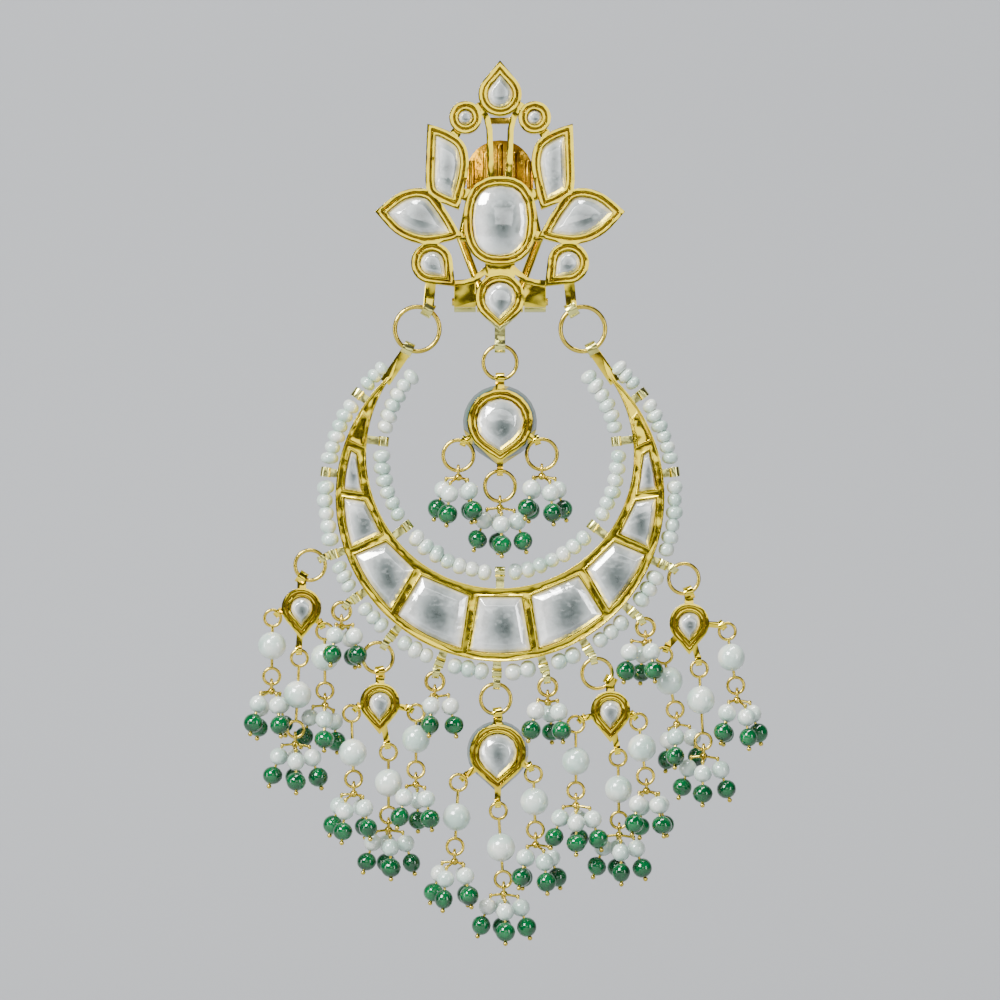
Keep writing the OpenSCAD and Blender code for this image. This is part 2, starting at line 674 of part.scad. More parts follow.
module clip_pin() {
    overhang = 0.25;
    color(GOLD)
        translate([-hinge_len / 2 - overhang, hinge_at[0], hinge_at[1]])
            rotate([0, 90, 0])
                cylinder(h = hinge_len + 2 * overhang, d = hinge_pin_d);
}

module hanging_ring() {
    color(PALE_GOLD)
        wire_ring(upright(hanging_ring_at), [0, 1, 0], hanging_ring_r, hanging_wire_d);
}

// Points of a cell between two of its edges, inset from the crescent's edge and from the bars
function on_outer(a, d) = crescent_at + (crescent_r - d) * down(a);
function on_inner(a, d) = moon_at + (moon_r + d) * down(a);
function cell_outline(left, right, d, bar, steps) =
    let (
        oa = bar / crescent_r * 180 / PI,
        ia = bar / moon_r * 180 / PI,
        span = (right[1] - left[1]) / 2 - ia
    )
    concat(
        [for (i = [0:steps]) on_outer(left[0] + oa + (right[0] - left[0] - 2 * oa) * i / steps, d)],
        [for (a = [right[1] - ia, left[1] + ia]) moon_at + (moon_r + d) / cos(span) * down(a)]
    );

module crescent_body() {
    difference() {
        translate([0, crescent_back, 0])
            rotate([90, 0, 0])
                linear_extrude(crescent_depth)
                    difference() {
                        translate(crescent_at)
                            circle(r = crescent_r, $fn = 180);
                        translate(moon_at)
                            circle(r = moon_r, $fn = 180);
                        translate([-crescent_r, horn_tip[1] - 0.9])
                            square([2 * crescent_r, crescent_r]);
                    }
        for (i = [0:8])
            slab(cell_outline(CELL_EDGES[i], CELL_EDGES[i + 1], edge_w, divider_w / 2, 6),
                crescent_front - cut, crescent_front + seat_d);
        both_sides()
            slab(horn_dish(), crescent_front - cut, crescent_front + groove_d);
    }
}

function horn_dish() =
    let (low = HORN_EDGES[0], high = HORN_EDGES[1], steps = 6, d = rim_w + 0.1)
    concat(
        [for (i = [0:steps]) on_outer(low[0] + (high[0] - low[0]) * i / steps, d)],
        [for (i = [steps:-1:0]) on_inner(low[1] + (high[1] - low[1]) * i / steps, d)]
    );

// Peg: a short tube along the strand, on a foot that runs into the edge
module peg(centre, r, edge_r, a) {
    at = centre + r * down(a);
    foot = centre + edge_r * down(a);
    along = upright([cos(a), sin(a)]);
    difference() {
        union() {
            aimed(upright(at), along)
                cylinder(h = peg_w, r = peg_r, center = true);
            slab(band([at, foot], peg_w - peg_foot_step), -peg_r * 0.6, peg_r * 0.6);
        }
        aimed(upright(at), along)
            cylinder(h = peg_w + 2 * cut, r = thread_hole_r, center = true);
    }
}

// Outer half of a ring peg: the eye that a fringe ring hangs in
module ring_eye(i) {
    bail(ring_peg_at(i), upright([cos(RING_LEANS[i]), sin(RING_LEANS[i])]),
        ring_peg_at(i) - (ring_peg_reach - 0.5) * down(RING_PEGS[i]), ring_eye_w, ring_peg_r, ring_peg_hole_r);
}

module crescent_frame() {
    color(GOLD)
        crescent_body();
    color(PALE_GOLD) {
        for (a = OUTER_PEGS)
            peg(crescent_at, outer_seed_r, crescent_r - 0.3, a);
        for (a = INNER_PEGS)
            peg(moon_at, inner_seed_r, moon_r + 0.3, a);
        for (i = [0:8])
            ring_eye(i);
        both_sides()
            bail(horn_loop_at, upright([cos(horn_loop_lean), sin(horn_loop_lean)]), horn_foot);
    }
}

module crescent_stone(i) {
    polki(cell_outline(CELL_EDGES[i], CELL_EDGES[i + 1], edge_w + stone_gap,
        divider_w / 2 + stone_gap, 4), crescent_front, 0.7);
}

// Strand of seed pearls: a swept tube, drawn in to the thread where it passes a peg
function strand_stations(pegs, end, r) =
    let (
        half = (peg_w / 2 + thread_bare) / r * 180 / PI,
        stops = concat([-end], [for (a = pegs) each [a - half, a + half]], [end]),
        seed_r = seed_d / 2,
        thread_r = thread_d / 2,
        step = 12
    )
    [for (i = [0:2:len(stops) - 2])
        let (from = stops[i], to = stops[i + 1], n = max(1, round((to - from) / step)), lip = 0.3)
        each concat(
            i == 0 ? [] : [[from, thread_r]],
            [for (k = [0:n]) [from + (k == 0 ? lip : k == n ? -lip : 0) + (to - from) * k / n, seed_r]],
            i == len(stops) - 2 ? [] : [[to, thread_r]]
        )];

module strand(centre, r, pegs, end) {
    sides = 8;
    stations = strand_stations(pegs, end, r);
    points = [for (s = stations, k = [0:sides - 1])
        let (a = 360 * k / sides, at = centre + (r + s[1] * cos(a)) * down(s[0]))
        [at[0], s[1] * sin(a), at[1]]];
    last = len(stations) - 1;
    walls = [for (i = [0:last - 1], k = [0:sides - 1])
        let (a = i * sides + k, b = i * sides + (k + 1) % sides)
        [a, a + sides, b + sides, b]];
    ends = [[for (k = [0:sides - 1]) k], [for (k = [sides - 1:-1:0]) last * sides + k]];
    color(PEARL)
        polyhedron(points, concat(walls, ends), convexity = 10);
}

module inner_strand() strand(moon_at, inner_seed_r, INNER_PEGS, inner_strand_end);
module outer_strand() strand(crescent_at, outer_seed_r, OUTER_PEGS, outer_strand_end);

// Hanging drop: its setting, bail and the knobs that carry what hangs below
module drop_frame(at, bail_at, bail_lean, w, h, knobs, lens, hangs) {
    setting(placed(drop_outline(w, h, 20), at), -drop_depth / 2, drop_depth / 2);
    bail(bail_at, upright([cos(bail_lean), sin(bail_lean)]), at + [0, w * 0.42],
        drop_bail_w, drop_bail_r, drop_bail_hole_r);
    for (i = [0:len(knobs) - 1])
        bail(knob_at(at, w, h, knobs[i], lens[i]), upright([cos(hangs[i]), sin(hangs[i])]),
            at + (drop_reach(w, h, knobs[i]) - 0.5) * down(knobs[i]), knob_w, knob_r, knob_hole_r);
}

module drop_stone(at, w, h) {
    set_stone(stone_outline_drop(at, w, h, 0), -drop_depth / 2);
}

module pendant_ring() {
    color(PALE_GOLD)
        wire_ring(upright(pendant_ring_at), [0, 1, 0], pendant_ring_r, ring_wire_d);
}

module pendant_frame() {
    color(GOLD)
        drop_frame(pendant_at, pendant_bail_at, 0, pendant_w, pendant_h, PENDANT_KNOBS,
            PENDANT_KNOB_LENS, PENDANT_HANGS);
}

module pendant_stone() drop_stone(pendant_at, pendant_w, pendant_h);

module pendant_small_rings() {
    color(PALE_GOLD)
        for (k = [0:2])
            wire_ring(upright(pendant_small_at(k)), [0, 1, 0], pendant_small_r, ring_wire_d);
}

module fringe_ring(i) {
    color(PALE_GOLD)
        wire_ring(upright(fringe_ring_at(i)), [0, 1, 0], ring_r(i), ring_wire_d);
}

module fringe_rings() {
    for (i = [0, 1, 2, 3, 5, 6, 7, 8])
        fringe_ring(i);
}

module fringe_drop_frame(d) {
    rows = [for (k = [3 * d:3 * d + 2]) DANGLERS[k]];
    color(GOLD)
        drop_frame(drop_at(d), drop_bail_at(d), DROPS[d][1], DROPS[d][2], DROPS[d][3],
            [for (r = rows) r[1]], [for (r = rows) r[2]], [for (r = rows) r[3]]);
}

module fringe_drop_stone(d) drop_stone(drop_at(d), DROPS[d][2], DROPS[d][3]);

// Eye pin: an eye in the drop's knob, the shank through the pearl and an eye for the spray
module eye_pin(k) {
    way = dangler_way(k);
    eye = upright(dangler_eye(k));
    low = low_eye_at(k);
    across = cross(way, [1, 0, 0]);
    color(PALE_GOLD) {
        wire_ring(eye, across, eye_r, eye_wire_d);
        rod(eye + way * eye_r, low - way * eye_r, eye_wire_d / 2 - 0.01);
        wire_ring(low, across, eye_r, eye_wire_d);
    }
}

module bead(at, way, d, hole_r) {
    aimed(at, way)
        difference() {
            sphere(d = d);
            cylinder(h = 2 * d, r = hole_r, center = true);
        }
}

module large_pearl(k) {
    color(PEARL)
        bead(large_pearl_at(k), dangler_way(k), large_pearl_d, large_hole_r);
}

// Part of a line between two points, short of both by the lengths given
module short_rod(from, to, skip, stop, r) {
    way = unit(to - from);
    rod(from + way * skip, to - way * stop, r);
}

// Head pins that leave the collar under one loop, bend at a knee and run through their beads
module spray_pins(spray) {
    root = spray[0] - [0, 0, spray_loop_r + collar_drop];
    wire_r = pin_wire_d / 2;
    color(PALE_GOLD) {
        wire_ring(spray[0], [1, 0, 0], spray_loop_r, pin_wire_d + 0.04);
        translate(root)
            sphere(r = collar_r);
        for (i = [0:len(spray[1]) - 1]) {
            pearl = spray_pearl(spray, i);
            emerald = spray_emerald(spray, i);
            way = unit(emerald - pearl);
            knee = pearl - way * (pearl_d / 2 + knee_rise);
            foot = emerald + way * (emerald_d / 2 + head_gap);
            short_rod(root, knee, collar_r * in_ball, knee_r * in_ball, wire_r);
            translate(knee)
                sphere(r = knee_r);
            short_rod(knee, foot, knee_r * in_ball, 0, wire_r);
            translate(foot)
                sphere(r = head_r);
        }
    }
}

module spray_pearls(spray) {
    color(PEARL)
        for (i = [0:len(spray[1]) - 1])
            bead(spray_pearl(spray, i), spray_emerald(spray, i) - spray_pearl(spray, i), pearl_d, pearl_hole_r);
}

module spray_emeralds(spray) {
    color(EMERALD)
        for (i = [0:len(spray[1]) - 1])
            bead(spray_emerald(spray, i), spray_emerald(spray, i) - spray_pearl(spray, i), emerald_d, pearl_hole_r);
}

flower_frame();
flower_stone_oval();
flower_stone_finial();
flower_stone_base();
mirrored_stone() flower_stone_dot();  // flower_stone_dot_left
flower_stone_dot();  // flower_stone_dot_right
mirrored_stone() flower_stone_petal();  // flower_stone_petal_left
flower_stone_petal();  // flower_stone_petal_right
mirrored_stone() flower_stone_leaf();  // flower_stone_leaf_left
flower_stone_leaf();  // flower_stone_leaf_right
mirrored_stone() flower_stone_bud();  // flower_stone_bud_left
flower_stone_bud();  // flower_stone_bud_right
clip_lever();
clip_pin();
mirror([1, 0, 0]) hanging_ring();  // hanging_ring_left
hanging_ring();  // hanging_ring_right
crescent_frame();
for (i = [1:9])
    crescent_stone(i - 1);
inner_strand();
outer_strand();
pendant_ring();
pendant_frame();
pendant_stone();
pendant_small_rings();
for (s = PENDANT_LIST) spray_pins(s);  // pendant_pins
for (s = PENDANT_LIST) spray_pearls(s);  // pendant_pearls
for (s = PENDANT_LIST) spray_emeralds(s);  // pendant_emeralds
fringe_rings();
fringe_ring(4);  // centre_ring
fringe_drop_frame(CENTRE_DROP);  // centre_frame
fringe_drop_stone(CENTRE_DROP);  // centre_stone
for (k = [6:8]) eye_pin(k);  // centre_eye_pins
for (k = [6:8]) large_pearl(k);  // centre_large_pearls
for (s = CENTRE_LIST) spray_pins(s);  // centre_pins
for (s = CENTRE_LIST) spray_pearls(s);  // centre_pearls
for (s = CENTRE_LIST) spray_emeralds(s);  // centre_emeralds
for (i = [1:4]) {
    fringe_drop_frame(SMALL_DROPS[i - 1]);
    fringe_drop_stone(SMALL_DROPS[i - 1]);
}
for (k = [0, 1, 2, 3, 4, 5, 9, 10, 11, 12, 13, 14]) eye_pin(k);  // fringe_eye_pins
for (k = [0, 1, 2, 3, 4, 5, 9, 10, 11, 12, 13, 14]) large_pearl(k);  // fringe_large_pearls
for (s = LEFT_LIST) spray_pins(s);  // fringe_pins_left
for (s = LEFT_LIST) spray_pearls(s);  // fringe_pearls_left
for (s = LEFT_LIST) spray_emeralds(s);  // fringe_emeralds_left
for (s = RIGHT_LIST) spray_pins(s);  // fringe_pins_right
for (s = RIGHT_LIST) spray_pearls(s);  // fringe_pearls_right
for (s = RIGHT_LIST) spray_emeralds(s);  // fringe_emeralds_right
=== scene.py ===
"""Looks of a chandbali earring: polished gold kundan work, polki stones, pearls and green glass beads."""

import math
import random
from collections import namedtuple

import bmesh
import bpy
from mathutils import Matrix, Vector


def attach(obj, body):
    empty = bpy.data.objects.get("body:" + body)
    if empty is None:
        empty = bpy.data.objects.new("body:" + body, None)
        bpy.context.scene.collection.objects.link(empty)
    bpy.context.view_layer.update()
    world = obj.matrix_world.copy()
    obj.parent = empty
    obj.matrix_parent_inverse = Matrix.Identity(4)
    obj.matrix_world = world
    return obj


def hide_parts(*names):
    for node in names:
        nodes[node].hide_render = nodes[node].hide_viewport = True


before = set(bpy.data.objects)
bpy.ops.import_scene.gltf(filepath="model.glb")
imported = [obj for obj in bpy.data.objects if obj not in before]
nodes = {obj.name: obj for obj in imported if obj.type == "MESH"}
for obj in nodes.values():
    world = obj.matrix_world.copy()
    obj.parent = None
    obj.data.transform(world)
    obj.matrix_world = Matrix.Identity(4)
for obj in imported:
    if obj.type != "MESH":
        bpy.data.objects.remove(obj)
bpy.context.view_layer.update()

MM = 0.001
FULL_TURN = 6.28
random.seed(7)

# Crescent and seed strands, in millimetres: the height of each circle's centre and its radius
OUTER_CENTRE_Z = -35.368
OUTER_SEED_R = 19.86
INNER_CENTRE_Z = -30.578
INNER_SEED_R = 13.25
SEED_D = 2.1
SEED_PITCH = 1.38
SEED_LEAN_IN = 0.1
# Ranges in which the seed pearls differ: width, thickness, lean in degrees and shift across the strand
SEED_WIDTHS = (0.86, 1.04)
SEED_THICKNESSES = (0.92, 1.0)
SEED_LEANS = (-12, 12)
SEED_SHIFTS = (-0.07, 0.07)
# Each seed is a little longer than its share of the strand, so that neighbours touch
SEED_OVERLAP = 1.1
# Pegs that part the seed pearls, as angles from the lowest point, and the last angle of each strand
OUTER_PEGS = [-126, -98.2, -71, -55, -38, -20, -1, 14.5, 30, 49, 67.5, 98.2, 126]
OUTER_END = 139
INNER_PEGS = [-96.5, -52.5, 0, 52.5, 96.5]
INNER_END = 134
# Half the stretch of strand that a peg takes
PEG_ROOM = 1.0

# Beads: diameters in millimetres, and by what share they differ in size and are out of round
LARGE_PEARL_D = 3.3
PEARL_D = 2.1
EMERALD_D = 2.3
BEAD_SPREAD = 0.03
PEARL_SQUASH = 0.04
GLASS_SQUASH = 0.1

# Places on the gold work, in millimetres
CRESCENT_R = 18.56
CRESCENT_FRONT_Y = -1.25
MOON_R = 15.1
OVAL_Z = -4.2
OVAL_HALF_W = 4.2
OVAL_HALF_H = 5.05
OVAL_GROOVE_Y = -1.2
FLOWER_GROOVE_Y = -0.8
FLOWER_BACK_Y = 1.3
LOOPS_Z = -13.4
SIDE_LOOPS_X = 6.0
PETAL_TIP_Z = -15.7
DROP_GROOVE_Y = -0.9
PAD_BOTTOM_Z = -2.5
PAD_CUP_Y = -1.6
PAD_CUP_R = 8.25
PAD_RIBS_X = [-3.2, -1.6, 0, 1.6, 3.2]
PAD_RIB_R = 0.35
PAD_RIB_TOP = 5.0
PAD_RIB_EDGE = 0.18
# How far a rib's top falls for each millimetre to the side, along the pad's round top
PAD_RIB_FALL = 0.6
# How far the enamelled side of each large drop spreads beyond its rim
ENAMEL_FLARES = {"pendant_frame": 0.5, "centre_frame": 0.3}
# The line along each edge of the crescent's front: its width and how far the gold sinks inside it
EDGE_LINE_W = 0.15
EDGE_LINE_SINK = 0.07

# How faces of the gold work are told apart: a front or a side by its normal, a drop's wall by its depth
FRONT_NORMAL_Y = -0.9
SIDE_NORMAL_Y = 0.3
WALL_DEPTH = 1.6
GROOVE_ROOM = 0.04
EDGE_ROOM = 0.06
Patch = namedtuple("Patch", "middle normal depth")

# Widths of the rounded edges of settings and stones, in millimetres
SETTING_EDGE = 0.26
STONE_EDGE = 0.22
# Name of the map that lays a stone's front out flat
FRONT_MAP = "front"


# Materials

# Kinds of node that most materials here are made with
NOISE = "ShaderNodeTexNoise"
RAMP = "ShaderNodeValToRGB"
BUMP = "ShaderNodeBump"


def linear(hex_colour):
    """An sRGB hex colour as linear red, green, blue and alpha."""
    parts = [int(hex_colour[i : i + 2], 16) / 255 for i in (1, 3, 5)]
    return tuple(c / 12.92 if c <= 0.04045 else ((c + 0.055) / 1.055) ** 2.4 for c in parts) + (1.0,)


def new_material(name, **settings):
    """A material with a plain shader, and its node tree."""
    material = bpy.data.materials.new(name)
    material.use_nodes = True
    tree = material.node_tree
    shader = tree.nodes["Principled BSDF"]
    for socket, value in settings.items():
        shader.inputs[socket.replace("_", " ")].default_value = value
    return material, tree, shader


def link(tree, target, **links):
    """Links outputs to a node's inputs. An input is named, or is i2 for the one at place 2."""
    for key, output in links.items():
        place = int(key[1:]) if key[0] == "i" and key[1:].isdigit() else key.replace("_", " ")
        tree.links.new(output, target.inputs[place])


def node(tree, kind, settings=None, stops=(), **links):
    """Adds a node with its settings, the colour stops of a ramp and its links."""
    made = tree.nodes.new(kind)
    for key, value in (settings or {}).items():
        if isinstance(key, int) or key in made.inputs:
            made.inputs[key].default_value = value
        else:
            setattr(made, key, value)
    if stops:
        elements = made.color_ramp.elements
        while len(elements) < len(stops):
            elements.new(0.5)
        for element, (share, hex_colour) in zip(elements, stops):
            element.position = share
            element.color = linear(hex_colour)
    link(tree, made, **links)
    return made


def position(tree):
    """Object coordinates in millimetres. Noise of scale 1 / 2.4 on them has patches of about 2.4 mm."""
    place = node(tree, "ShaderNodeTexCoord").outputs["Object"]
    scaled = node(tree, "ShaderNodeMapping", {"Scale": (1000, 1000, 1000)}, Vector=place)
    return scaled.outputs["Vector"]


def gold_material(name, light, dark, roughness, wave_mm):
    """High-karat gold, cast and hand polished: lemon yellow, near mirror, with slow waves from the
    polishing stick. The polishing marks are finer than 0.05 mm and are drawn at 0.35 mm, to show."""
    material, tree, shader = new_material(name, Metallic=1.0)
    where = position(tree)
    tone = node(tree, NOISE, {"Scale": 1 / 2.4, "Detail": 2}, Vector=where)
    colour = node(tree, RAMP, stops=[(0.25, dark), (0.5, light)], Fac=tone.outputs["Fac"])
    marks = node(tree, NOISE, {"Scale": 1 / 0.35, "Detail": 2}, Vector=where)
    limits = {"To Min": roughness * 0.8, "To Max": roughness * 1.25}
    spread = node(tree, "ShaderNodeMapRange", limits, Value=marks.outputs["Fac"])
    waves = node(tree, NOISE, {"Scale": 1 / wave_mm, "Detail": 1}, Vector=where)
    relief = node(tree, BUMP, {"Strength": 0.5, "Distance": 0.16 * MM}, Height=waves.outputs["Fac"])
    link(tree, shader, Base_Color=colour.outputs["Color"], Roughness=spread.outputs["Result"])
    link(tree, shader, Normal=relief.outputs["Normal"])
    return material


def polki_material():
    """Uncut diamond slices over silver foil, with milky clouds. A painted reflection lies on them: a grey
    patch off the middle, white towards the edges, for the dark camera and bright lamps mirrored in the stone.
    The patch follows the stone's own map, whose middle is at 0.5, 0.5."""
    material, tree, shader = new_material(
        "polki_over_foil",
        Metallic=0.15,
        Roughness=0.1,
        IOR=1.9,
        Coat_Weight=1.0,
        Coat_Roughness=0.02,
        Coat_IOR=2.2,
    )
    where = position(tree)
    face = node(tree, "ShaderNodeUVMap", {"uv_map": FRONT_MAP})
    drift = node(tree, NOISE, {"Scale": 1 / 2.6, "Detail": 2}, Vector=where)
    bent = node(
        tree,
        "ShaderNodeVectorMath",
        {"operation": "MULTIPLY_ADD", 1: (0.24, 0.24, 0)},
        i0=drift.outputs["Color"],
        i2=face.outputs["UV"],
    )
    middle = node(
        tree,
        "ShaderNodeMapping",
        {"Location": (-0.58, -0.29, 0), "Scale": (0.85, 0.5, 0)},
        Vector=bent.outputs["Vector"],
    )
    reflection_spot = node(tree, "ShaderNodeVectorMath", {"operation": "LENGTH"}, i0=middle.outputs["Vector"])
    # Painted reflection: grey in the middle of the patch, fading to a painted white highlight at its edge
    greys = [(0.0, "#535C5A"), (0.09, "#727B79"), (0.2, "#B3BAB8"), (0.33, "#F1F1EE")]
    foil = node(tree, RAMP, stops=greys, Fac=reflection_spot.outputs["Value"])
    clouds = node(tree, NOISE, {"Scale": 1 / 1.3, "Detail": 3, "Roughness": 0.6}, Vector=where)
    milk = node(tree, RAMP, stops=[(0.35, "#C9CBC9"), (0.55, "#FFFFFF")], Fac=clouds.outputs["Fac"])
    colour = node(
        tree,
        "ShaderNodeMix",
        {"data_type": "RGBA", "blend_type": "MULTIPLY", "Factor": 0.7},
        i6=foil.outputs["Color"],
        i7=milk.outputs["Color"],
    )
    creases = node(tree, NOISE, {"Scale": 1 / 1.1, "Detail": 1}, Vector=where)
    relief = node(tree, BUMP, {"Strength": 0.5, "Distance": 0.2 * MM}, Height=creases.outputs["Fac"])
    link(tree, shader, Base_Color=colour.outputs[2], Normal=relief.outputs["Normal"])
    return material


def enamel_material(name, light, dark):
    """Meenakari: glass enamel fired onto the gold, glossy, with soft pooled patches."""
    material, tree, shader = new_material(name, Roughness=0.2, IOR=1.4, Coat_Weight=0.15, Coat_Roughness=0.05)
    pools = node(tree, NOISE, {"Scale": 1 / 1.4, "Detail": 2}, Vector=position(tree))
    colour = node(tree, RAMP, stops=[(0.35, dark), (0.6, light)], Fac=pools.outputs["Fac"])
    relief = node(tree, BUMP, {"Strength": 0.3, "Distance": 0.06 * MM}, Height=pools.outputs["Fac"])
    link(tree, shader, Base_Color=colour.outputs["Color"], Normal=relief.outputs["Normal"])
    return material


def pearl_material():
    """Freshwater pearls: off-white nacre with a faint mint cast and a soft sheen."""
    material, tree, shader = new_material(
        "freshwater_pearl",
        Roughness=0.3,
        IOR=1.53,
        Coat_Weight=1.0,
        Coat_Roughness=0.05,
        Coat_IOR=1.8,
    )
    where = position(tree)
    tone = node(tree, NOISE, {"Scale": 1 / 2.6, "Detail": 2}, Vector=where)
    nacre = [(0.35, "#A9C2B5"), (0.5, "#C3D4C9"), (0.65, "#DADED3")]
    colour = node(tree, RAMP, stops=nacre, Fac=tone.outputs["Fac"])
    skin = node(tree, NOISE, {"Scale": 1 / 0.5, "Detail": 2}, Vector=where)
    relief = node(tree, BUMP, {"Strength": 0.4, "Distance": 0.03 * MM}, Height=skin.outputs["Fac"])
    link(tree, shader, Base_Color=colour.outputs["Color"], Normal=relief.outputs["Normal"])
    return material


def emerald_material():
    """Green glass beads, moulded and tumbled: deep green, glossy, brighter where light gets through."""
    material, tree, shader = new_material(
        "green_glass_bead",
        Roughness=0.1,
        IOR=1.55,
        Coat_Weight=0.4,
        Coat_Roughness=0.05,
        Transmission_Weight=0.15,
    )
    where = position(tree)
    tone = node(tree, NOISE, {"Scale": 1 / 1.7, "Detail": 3}, Vector=where)
    greens = [(0.3, "#00371A"), (0.5, "#005428"), (0.7, "#00703A")]
    colour = node(tree, RAMP, stops=greens, Fac=tone.outputs["Fac"])
    ripples = node(tree, NOISE, {"Scale": 1 / 0.8, "Detail": 1}, Vector=where)
    relief = node(tree, BUMP, {"Strength": 0.5, "Distance": 0.12 * MM}, Height=ripples.outputs["Fac"])
    link(tree, shader, Base_Color=colour.outputs["Color"], Normal=relief.outputs["Normal"])
    return material


YELLOW_GOLD = gold_material("yellow_gold", "#FFE440", "#E6C032", 0.11, 1.7)
PALE_GOLD = gold_material("pale_green_gold", "#E9E58C", "#C9BF62", 0.2, 1.0)
# Gold in the grooves is coloured dark brown: painted shade, for the shade that falls in the recess
SHADED_GROOVE_GOLD = gold_material("gold_with_painted_groove_shade", "#8C7320", "#5E4A12", 0.28, 0.6)
WIRE_GOLD = gold_material("drawn_gold_wire", "#D9BF4C", "#A08A30", 0.18, 1.0)
AMBER_GOLD = gold_material("amber_gold_plate", "#BC9630", "#54400E", 0.2, 1.2)
GREEN_ENAMEL = enamel_material("green_meenakari", "#0B4A2C", "#06301C")
CREAM_ENAMEL = enamel_material("cream_meenakari", "#EFE6C4", "#CFC08E")
POLKI = polki_material()
PEARL = pearl_material()
EMERALD = emerald_material()


# Mesh helpers


def deselect():
    for piece in bpy.context.selected_objects:
        piece.select_set(False)


def pick(piece):
    deselect()
    piece.select_set(True)
    bpy.context.view_layer.objects.active = piece


def merged_copy(cad_name, name):
    """A copy of a CAD node's mesh with its loose triangles merged."""
    piece = bpy.data.objects.new(name, nodes[cad_name].data.copy())
    bpy.context.scene.collection.objects.link(piece)
    pick(piece)
    bpy.ops.object.mode_set(mode="EDIT")
    bpy.ops.mesh.select_all(action="SELECT")
    bpy.ops.mesh.remove_doubles(threshold=1e-6)
    bpy.ops.object.mode_set(mode="OBJECT")
    return piece


def apply_modifier(piece, kind, **settings):
    pick(piece)
    modifier = piece.modifiers.new(kind.title(), kind)
    for key, value in settings.items():
        setattr(modifier, key, value)
    bpy.ops.object.modifier_apply(modifier=modifier.name)


def rounded(piece, edge, segments, degrees):
    """Rounds off every edge that bends by more than the given angle."""
    limit = math.radians(degrees)
    apply_modifier(piece, "BEVEL", width=edge, segments=segments, limit_method="ANGLE", angle_limit=limit)


def smooth(piece, degrees):
    pick(piece)
    bpy.ops.object.shade_smooth_by_angle(angle=math.radians(degrees))


def finish_piece(piece, material, body, slot, *cad_names):
    piece.data.materials.clear()
    piece.data.materials.append(material)
    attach(piece, body)
    if cad_names:
        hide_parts(*cad_names)
    return piece


def depth_of(mesh, face):
    """How far a face reaches from front to back, in metres."""
    heights = [mesh.vertices[v].co.y for v in face.vertices]
    return max(heights) - min(heights)


def dress(piece, material, chosen):
    """Gives the faces that a test picks another material. The test sees a face in millimetres."""
    mesh = piece.data
    mesh.materials.append(material)
    slot = len(mesh.materials) - 1
    for face in mesh.polygons:
        if chosen(Patch(face.center / MM, face.normal, depth_of(mesh, face) / MM)):
            face.material_index = slot


def sunk_front(piece, front_y):
    """Sinks the flat front between its edges, which leaves a raised bright line along each edge."""
    pick(piece)
    bpy.ops.object.mode_set(mode="EDIT")
    bpy.ops.mesh.select_all(action="SELECT")
    bpy.ops.mesh.dissolve_limited(angle_limit=math.radians(0.5))
    bpy.ops.mesh.select_all(action="DESELECT")
    mesh = bmesh.from_edit_mesh(piece.data)
    for face in mesh.faces:
        face.select_set(face.normal.y < -0.99 and abs(face.calc_center_median().y / MM - front_y) < 0.02)
    bmesh.update_edit_mesh(piece.data)
    bpy.ops.mesh.inset(thickness=EDGE_LINE_W * MM, depth=0, use_boundary=True)
    bpy.ops.mesh.inset(thickness=EDGE_LINE_SINK * MM, depth=-EDGE_LINE_SINK * MM, use_boundary=True)
    bpy.ops.object.mode_set(mode="OBJECT")


def flared(piece, middle, flare_mm):
    """Widens the back of a drop, so that its enamelled side shows round the rim."""
    mesh = piece.data
    wall = set()
    for face in mesh.polygons:
        if abs(face.normal.y) < SIDE_NORMAL_Y and depth_of(mesh, face) > WALL_DEPTH * MM:
            wall.update(face.vertices)
    for index in wall:
        point = mesh.vertices[index].co
        if point.y > 0:
            out = Vector((point.x - middle.x, 0, point.z - middle.z)).normalized()
            point += out * flare_mm * MM


def polished(cad_name, body):
    """A piece of the gold work with its sharp edges rounded off by polishing."""
    piece = merged_copy(cad_name, "polished_" + cad_name)
    if cad_name == "crescent_frame":
        sunk_front(piece, CRESCENT_FRONT_Y)
    if cad_name in ENAMEL_FLARES:
        stone = nodes[cad_name.replace("frame", "stone")].data.vertices
        flared(piece, sum((v.co for v in stone), Vector()) / len(stone), ENAMEL_FLARES[cad_name])
    rounded(piece, SETTING_EDGE * MM, 3, 30)
    smooth(piece, 35)
    return finish_piece(piece, YELLOW_GOLD, body, "yellow_gold", cad_name)


def front_map(piece):
    """Maps a stone as seen from the front, its width and height to 0..1."""
    mesh = piece.data
    low = [min(v.co[i] for v in mesh.vertices) for i in (0, 2)]
    high = [max(v.co[i] for v in mesh.vertices) for i in (0, 2)]
    for old in list(mesh.uv_layers):
        mesh.uv_layers.remove(old)
    layer = mesh.uv_layers.new(name=FRONT_MAP)
    for loop in mesh.loops:
        co = mesh.vertices[loop.vertex_index].co
        across = (co.x - low[0]) / (high[0] - low[0])
        up = (co.z - low[1]) / (high[1] - low[1])
        layer.data[loop.index].uv = (across, up)


def domed_stone(cad_name, body):
    """A stone ground smooth by hand: the crown's facets run into one another."""
    piece = merged_copy(cad_name, "polki_" + cad_name)
    rounded(piece, STONE_EDGE * MM, 3, 25)
    smooth(piece, 60)
    front_map(piece)
    return finish_piece(piece, POLKI, body, "polki_stone", cad_name)


